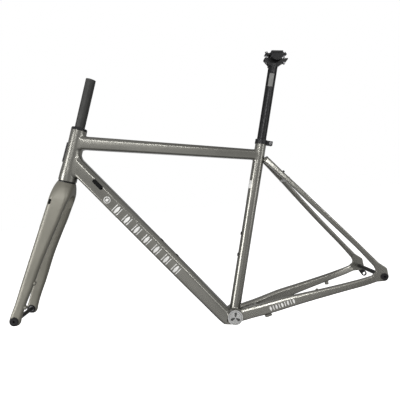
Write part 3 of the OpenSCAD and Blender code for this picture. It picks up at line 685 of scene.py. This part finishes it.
def dropout_plate(name, side):
    """A plate with eased edges, before the stays are joined to it."""
    faces = [[REAR_AXLE + np.array([x, side * y, z]) * MM for x, z in dropout_outline()]
             for y in (DROPOUT_INNER, DROPOUT_INNER + DROPOUT_THICKNESS)]
    plate = skinned(name, faces, sharp_deg=40)
    bevel = plate.modifiers.new("edges", "BEVEL")
    bevel.width = 1.8 * MM
    bevel.segments = 4
    bevel.limit_method = "ANGLE"
    bevel.angle_limit = math.radians(50)
    bake(plate)
    return plate


def build_dropout(label, side, stays):
    """A dropout, fused with the ends of its two stays."""
    plate = dropout_plate(f"dropout_shell_{label}", side)
    bore_start = REAR_AXLE + side * 60 * MM * SIDE
    for rings in stays:
        boolean(plate, skinned("end", rings[-SUNK_RINGS:]), "UNION")
    remesh(plate, voxel=0.9, rounds=8)
    boolean(plate, rod("hole", bore_start, side * SIDE, DROPOUT_BORE_R, 30), "DIFFERENCE")
    dress(plate, "frame", "frame_paint", f"dropout_{label}")


def build_stay(name, label, rings, tree, weld):
    """A stay that is trimmed and welded at its front end."""
    stay, hits, _ = trimmed(rings, tree)
    dress(skinned(f"{name}_shell_{label}", stay), "frame", "frame_paint", f"{name}_{label}")
    fillet(f"weld_{name}_{label}", rings, hits, tree, weld)


def build_rear(shell_tree, seat_tree):
    """Chainstays, seatstays and dropouts on both sides."""
    for label, side in (("left", -1), ("right", 1)):
        chain = stay_rings(CHAINSTAY, CHAINSTAY_UP, radius=5, side=side)
        stay = stay_rings(SEATSTAY, SEATSTAY_UP, radius=3.6, side=side)
        build_stay("chainstay", label, chain, shell_tree, weld=7)
        build_stay("seatstay", label, stay, seat_tree, weld=5)
        build_dropout(label, side, (chain, stay))


# ---- Fork ----

def fork_rings(rows, step, side=1):
    """Rings down the crown or a leg; side -1 puts a leg on the left."""
    falling = [(-station, *profile) for station, *profile in rows]
    rings = []
    for fall, front, rear, inner, outer, nose, tail in smooth_rows(falling, step):
        height, width = rear - front, outer - inner
        slim = nose if inner < 0 else 0.9 * min(nose, width - nose)
        tail = min(tail, 0.48 * width)
        ends = [(-height / 2, -width / 2), (-height / 2, width / 2), (height / 2, width / 2),
                (height / 2, -width / 2)]
        centre = steer(-fall, (front + rear) / 2, side * (inner + outer) / 2)
        rings.append(placed(rounded(ends, (slim, nose, tail, tail)), centre, STEER_BACK, side * SIDE))
    return rings


def gap_cutter():
    """The straight gap between the legs, below the arch of the crown."""
    bm = bmesh.new()
    for along in (330, CROWN_TOP - ARCH_DROP):
        for off in (-ARCH_REACH, ARCH_REACH):
            for y in (-ARCH_R, ARCH_R):
                bm.verts.new(steer(along, off, y))
    bmesh.ops.convex_hull(bm, input=bm.verts)
    return from_bmesh("gap", bm)


def fork_port_cutter():
    """An upright slot with round ends in the left shoulder of the crown, for the brake hose."""
    turn = (Matrix.Rotation(math.radians(FORK_PORT_LEAN), 3, "Y")
            @ Matrix.Rotation(math.radians(FORK_PORT_TURN), 3, "Z"))
    right, out, up = (np.array(turn @ Vector(v)) for v in ((1, 0, 0), (0, -1, 0), (0, 0, 1)))
    outline = slot_outline(FORK_PORT_REACH, FORK_PORT_R, 14)
    return skinned("port", [[FORK_PORT_AT + (across * right + along * up + depth * out) * MM
                             for along, across in outline] for depth in (-9, 11)])


def build_fork():
    """Crown and legs in one skin, with the arch, the bores and the hose port cut out."""
    fork = skinned("fork_shell", fork_rings(CROWN, 3))
    arch = rod("arch", steer(CROWN_TOP - ARCH_DROP, -ARCH_REACH), STEER_BACK, ARCH_R, 2 * ARCH_REACH)
    boolean(fork, arch, "DIFFERENCE")
    boolean(fork, gap_cutter(), "DIFFERENCE")
    for side in (-1, 1):
        boolean(fork, skinned("leg", fork_rings(LEG, 4, side)), "UNION")
    remesh(fork, voxel=1.3, rounds=16)
    for side in (-1, 1):
        bore_start = FRONT_AXLE + side * 40 * MM * SIDE
        boolean(fork, rod("hole", bore_start, side * SIDE, FORK_END_BORE_R, 40), "DIFFERENCE")
    boolean(fork, rod("bore", steer(CROWN_TOP - 24), STEER_DIR, STEERER_BORE_R, 40), "DIFFERENCE")
    boolean(fork, fork_port_cutter(), "DIFFERENCE")
    mark_sharp(fork, 35)
    dress(fork, "fork", "fork_paint", "fork_crown", "fork_leg_left", "fork_leg_right")


# ---- Printed marks: plain bars and bands, raised a tenth of a millimetre ----

def dropped(place, tree, side):
    """Moves a place straight in to a tube's side; the points just under and just over the surface there."""
    outside = Vector(place + side * PRINT_DROP * MM * SIDE)
    surface = np.array(tree.ray_cast(outside, Vector(-side * SIDE))[0])
    return surface - side * PRINT_SINK * MM * SIDE, surface + side * PRINT_LIFT * MM * SIDE


def printed(name, strokes, lay, tree, side=-1):
    """Thin raised strokes on a tube's side, with rows of [up, first, last] along the tube.

    lay(along, up) gives a place on the tube's middle plane.
    """
    bm = bmesh.new()
    for rows in strokes:
        rings = []
        for up, first, last in rows:
            under_first, over_first = dropped(lay(first, up), tree, side)
            under_last, over_last = dropped(lay(last, up), tree, side)
            rings.append([under_first, over_first, over_last, under_last])
        add_skin(bm, rings)
    dress(from_bmesh(name, bm, smooth=False), "frame", "print_pale")


def bar(at, low, high, ends, middle, count=9):
    """Rows of an upright bar whose width goes from ends to middle and back."""
    rows = []
    for share in np.linspace(0, 1, count):
        half = (ends + (middle - ends) * math.sin(math.pi * share)) / 2
        rows.append((low + (high - low) * share, at - half, at + half))
    return rows


def half_ring(at, up, radius, wall, side, count=13):
    """Rows of the front (-1) or rear (1) half of a ring."""
    rows = []
    for rise in radius * np.sin(np.linspace(-0.48, 0.48, count) * math.pi):
        outer = math.sqrt(radius ** 2 - rise ** 2)
        inner = math.sqrt(max(0.0, (radius - wall) ** 2 - rise ** 2))
        rows.append((up + rise, *sorted((at + side * outer, at + side * (inner + 0.05)))))
    return rows


def down_tube_marks():
    """A ring round a lozenge, then a row of lozenges that each stand between two bars."""
    low, high = MARK_UP - MARK_HEIGHT / 2, MARK_UP + MARK_HEIGHT / 2
    strokes = [half_ring(MARK_FIRST, MARK_UP, radius=10, wall=2.2, side=half) for half in (-1, 1)]
    strokes.append(bar(MARK_FIRST, MARK_UP - 5, MARK_UP + 5, ends=2.5, middle=9))
    for k in range(1, MARK_COUNT):
        at = MARK_FIRST + k * MARK_STEP
        strokes.append(bar(at, low, high, ends=3.6, middle=9.2))
        for beside in (-9.5, 9.5):
            strokes.append(bar(at + beside, low, high, ends=2.3, middle=2.3))
    return strokes


def stay_marks():
    """A row of small bars, every second one swelling in the middle."""
    strokes = []
    for k in range(STAY_MARK_COUNT):
        middle = 2.4 if k % 2 else 5.6
        strokes.append(bar(STAY_MARK_STEP * k, -6.5, 6.5, ends=2.4, middle=middle, count=5))
    return strokes


def on_stay(along, up):
    """A place on the chainstay's line of marks."""
    return STAY_MARK_START + (along * STAY_MARK_DIR + up * plane_up(STAY_MARK_DIR)) * MM


def band(name, point, radius, low, high, first, last):
    """A thin patch round a tube, between two stations and two angles in degrees.

    point(along, off, y) gives places from the tube's axis.
    """
    under, over = radius - 0.3, radius + PRINT_LIFT
    edges = ((low, under), (low, over), (high, over), (high, under))
    return skinned(name, [[point(along, r * math.cos(a), r * math.sin(a)) for along, r in edges]
                          for a in np.radians(np.linspace(first, last, 16))], sharp_deg=40)


def build_prints(down_tree):
    """Marks on the down tube and the left chainstay, and patches on the seat tube and the post."""
    strokes = down_tube_marks()
    for side, label in ((-1, "left"), (1, "right")):
        printed(f"print_down_tube_{label}", strokes, down, down_tree, side)
    chainstay_tree = tree_of(bpy.data.objects["chainstay_shell_left"])
    printed("print_chainstay_left", stay_marks(), on_stay, chainstay_tree)
    sticker = band("sticker_seat_tube", seat, SEAT_R, 379, 403, 190, 228)
    dress(sticker, "frame", "print_pale")
    label = band("print_seatpost", seat, POST_R, 684, 722, 232, 292)
    dress(label, "seatpost", "print_grey")


def build_cap_marks():
    """A plain ring and three wedges on the bottom bracket cover."""
    low, high = (np.array(point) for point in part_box("bb_cap"))
    centre = np.array([(low[0] + high[0]) / 2, low[1], (low[2] + high[2]) / 2])
    sunk, lift = 0.2, 0.1
    bm = bmesh.new()
    add_lathe(bm, centre, -SIDE, [(17.6, -sunk), (18.4, -sunk), (18.4, lift), (17.6, lift)], 72)
    for turn in np.radians((200, 320, 440)):
        wedge = [(3, turn - 0.7), (14, turn - 0.3), (16, turn), (14, turn + 0.3), (3, turn + 0.7)]
        add_skin(bm, [[centre + np.array([r * math.cos(a), y, r * math.sin(a)]) * MM for r, a in wedge]
                      for y in (sunk, -lift)])
    dress(from_bmesh("cap_marks", bm, smooth=False), "bb_cap", "print_dark")


# ---- Camera, light and floor ----

def build_camera():
    """The reference viewpoint: on the bike's left, at the middle of its height, and turned a little."""
    data = bpy.data.cameras.new("camera")
    data.lens = 33.86
    data.sensor_width = 36.0
    data.clip_start = 0.01
    data.clip_end = 50
    camera = bpy.data.objects.new("camera", data)
    bpy.context.scene.collection.objects.link(camera)
    bpy.context.scene.camera = camera
    at = (-0.096898, -1.117307, 0.381514)
    yaw, pitch, roll = 0.0314838, -0.0269306, -0.1162447
    ahead = np.array([math.sin(yaw) * math.cos(pitch), math.cos(yaw) * math.cos(pitch), math.sin(pitch)])
    level = np.array([math.cos(yaw), -math.sin(yaw), 0])
    upright = np.cross(level, ahead)
    place = np.eye(4)
    place[:3, 0] = level * math.cos(roll) + upright * math.sin(roll)
    place[:3, 1] = upright * math.cos(roll) - level * math.sin(roll)
    place[:3, 2] = -ahead
    place[:3, 3] = at
    camera.matrix_world = Matrix(place.tolist())


def soft_light(name, at, target, width, height, power):
    """A rectangular lamp that the camera doesn't see."""
    data = bpy.data.lights.new(name, "AREA")
    data.shape = "RECTANGLE"
    data.size = width
    data.size_y = height
    data.energy = power
    lamp = bpy.data.objects.new(name, data)
    bpy.context.scene.collection.objects.link(lamp)
    lamp.location = at
    lamp.rotation_euler = (Vector(target) - Vector(at)).to_track_quat("-Z", "Y").to_euler()
    lamp.visible_camera = False


def build_lights():
    """Two strips above the near side, which draw the long highlights, and a panel beside either end."""
    soft_light("strip_front", (-0.55, -2.2, 1.3), (-0.55, 0, 0.3), width=1.3, height=0.18, power=13)
    soft_light("strip_rear", (1.6, -2.2, 1.3), (1.6, 0, 0.3), width=1.1, height=0.18, power=11)
    soft_light("left", (-2.2, -1.3, 0.5), (-0.3, 0, 0.3), width=0.9, height=1.6, power=34)
    soft_light("right", (2.0, -1.5, 0.5), (0.1, 0, 0.3), width=0.45, height=1.8, power=7)
    bpy.context.scene.view_settings.view_transform = "Standard"


def ramp(tree, value, stops):
    """Grey levels over a value from -1 to 1, eased between the stops."""
    shift = tree.nodes.new("ShaderNodeMapRange")
    shift.inputs["From Min"].default_value = -1
    greys = tree.nodes.new("ShaderNodeValToRGB")
    greys.color_ramp.interpolation = "EASE"
    while len(greys.color_ramp.elements) < len(stops):
        greys.color_ramp.elements.new(0.5)
    for element, (at, grey) in zip(greys.color_ramp.elements, stops):
        element.position = (at + 1) / 2
        element.color = (grey, grey, grey, 1)
    tree.links.new(value, shift.inputs["Value"])
    tree.links.new(shift.outputs["Result"], greys.inputs["Fac"])
    return greys.outputs["Color"]


def times(tree, first, second):
    """The product of two colours."""
    product = tree.nodes.new("ShaderNodeMix")
    product.data_type = "RGBA"
    product.blend_type = "MULTIPLY"
    product.inputs["Factor"].default_value = 1
    tree.links.new(first, product.inputs["A"])
    tree.links.new(second, product.inputs["B"])
    return product.outputs["Result"]


def build_world():
    """White to the camera; to all other rays a studio whose darker stretches shape the highlights."""
    world = bpy.data.worlds.new("studio")
    bpy.context.scene.world = world
    world.use_nodes = True
    tree = world.node_tree
    tree.nodes.clear()
    where = tree.nodes.new("ShaderNodeTexCoord")
    split = tree.nodes.new("ShaderNodeSeparateXYZ")
    tree.links.new(where.outputs["Generated"], split.inputs["Vector"])
    along = ramp(tree, split.outputs["X"], [(-1, 0.8), (-0.4, 0.72), (-0.27, 0.55), (-0.12, 1.0), (0.0, 1.0),
                                            (0.17, 0.5), (0.45, 0.5), (0.8, 0.9), (1, 0.9)])
    across = ramp(tree, split.outputs["Y"], [(-1, 0.9), (-0.85, 0.95), (-0.6, 0.85), (-0.3, 0.65),
                                             (0.15, 0.45), (1, 0.6)])
    height = ramp(tree, split.outputs["Z"], [(-1, 0.25), (-0.35, 0.8), (-0.12, 1.0), (0.1, 0.5), (0.3, 0.75),
                                             (0.6, 1.0), (1, 0.9)])
    studio = tree.nodes.new("ShaderNodeBackground")
    tree.links.new(times(tree, times(tree, along, across), height), studio.inputs["Color"])
    white = tree.nodes.new("ShaderNodeBackground")
    white.inputs["Color"].default_value = (1, 1, 1, 1)
    rays = tree.nodes.new("ShaderNodeLightPath")
    mix = tree.nodes.new("ShaderNodeMixShader")
    out = tree.nodes.new("ShaderNodeOutputWorld")
    tree.links.new(rays.outputs["Is Camera Ray"], mix.inputs["Fac"])
    tree.links.new(studio.outputs["Background"], mix.inputs[1])
    tree.links.new(white.outputs["Background"], mix.inputs[2])
    tree.links.new(mix.outputs["Shader"], out.inputs["Surface"])


def build_floor():
    """A level pale floor, where the tyres would stand."""
    z = REAR_AXLE[2] - FLOOR_BELOW_AXLE * MM
    half = 12.0
    bm = bmesh.new()
    bm.faces.new([bm.verts.new((x * half, y * half, z)) for x, y in ((-1, -1), (1, -1), (1, 1), (-1, 1))])
    floor = from_bmesh("floor", bm, smooth=False)
    mat, _, shader = new_material("Floor", (0.95, 0.95, 0.95), metallic=0.0, roughness=0.9)
    shader.inputs["Emission Color"].default_value = (1, 1, 1, 1)
    shader.inputs["Emission Strength"].default_value = 0.85
    floor.data.materials.append(mat)
    floor.visible_glossy = False
    floor.visible_diffuse = False


# ---- Everything in place ----

build_camera()
build_world()
build_floor()
build_lights()
dress_nodes()

seat_tree = helper_tree(seat(60), SEAT_DIR, SEAT_R, SEAT_TUBE_TOP - 60)
shell_tree = helper_tree(-SHELL_WIDTH / 2 * MM * SIDE, SIDE, SHELL_R, SHELL_WIDTH)
head_tree = tree_of(build_head_tube())
build_top_tube(head_tree, seat_tree)
down_tree = build_down_tube(head_tree, shell_tree)
build_seat_weld(shell_tree)
build_rear(shell_tree, seat_tree)
build_fork()
build_prints(down_tree)
build_cap_marks()
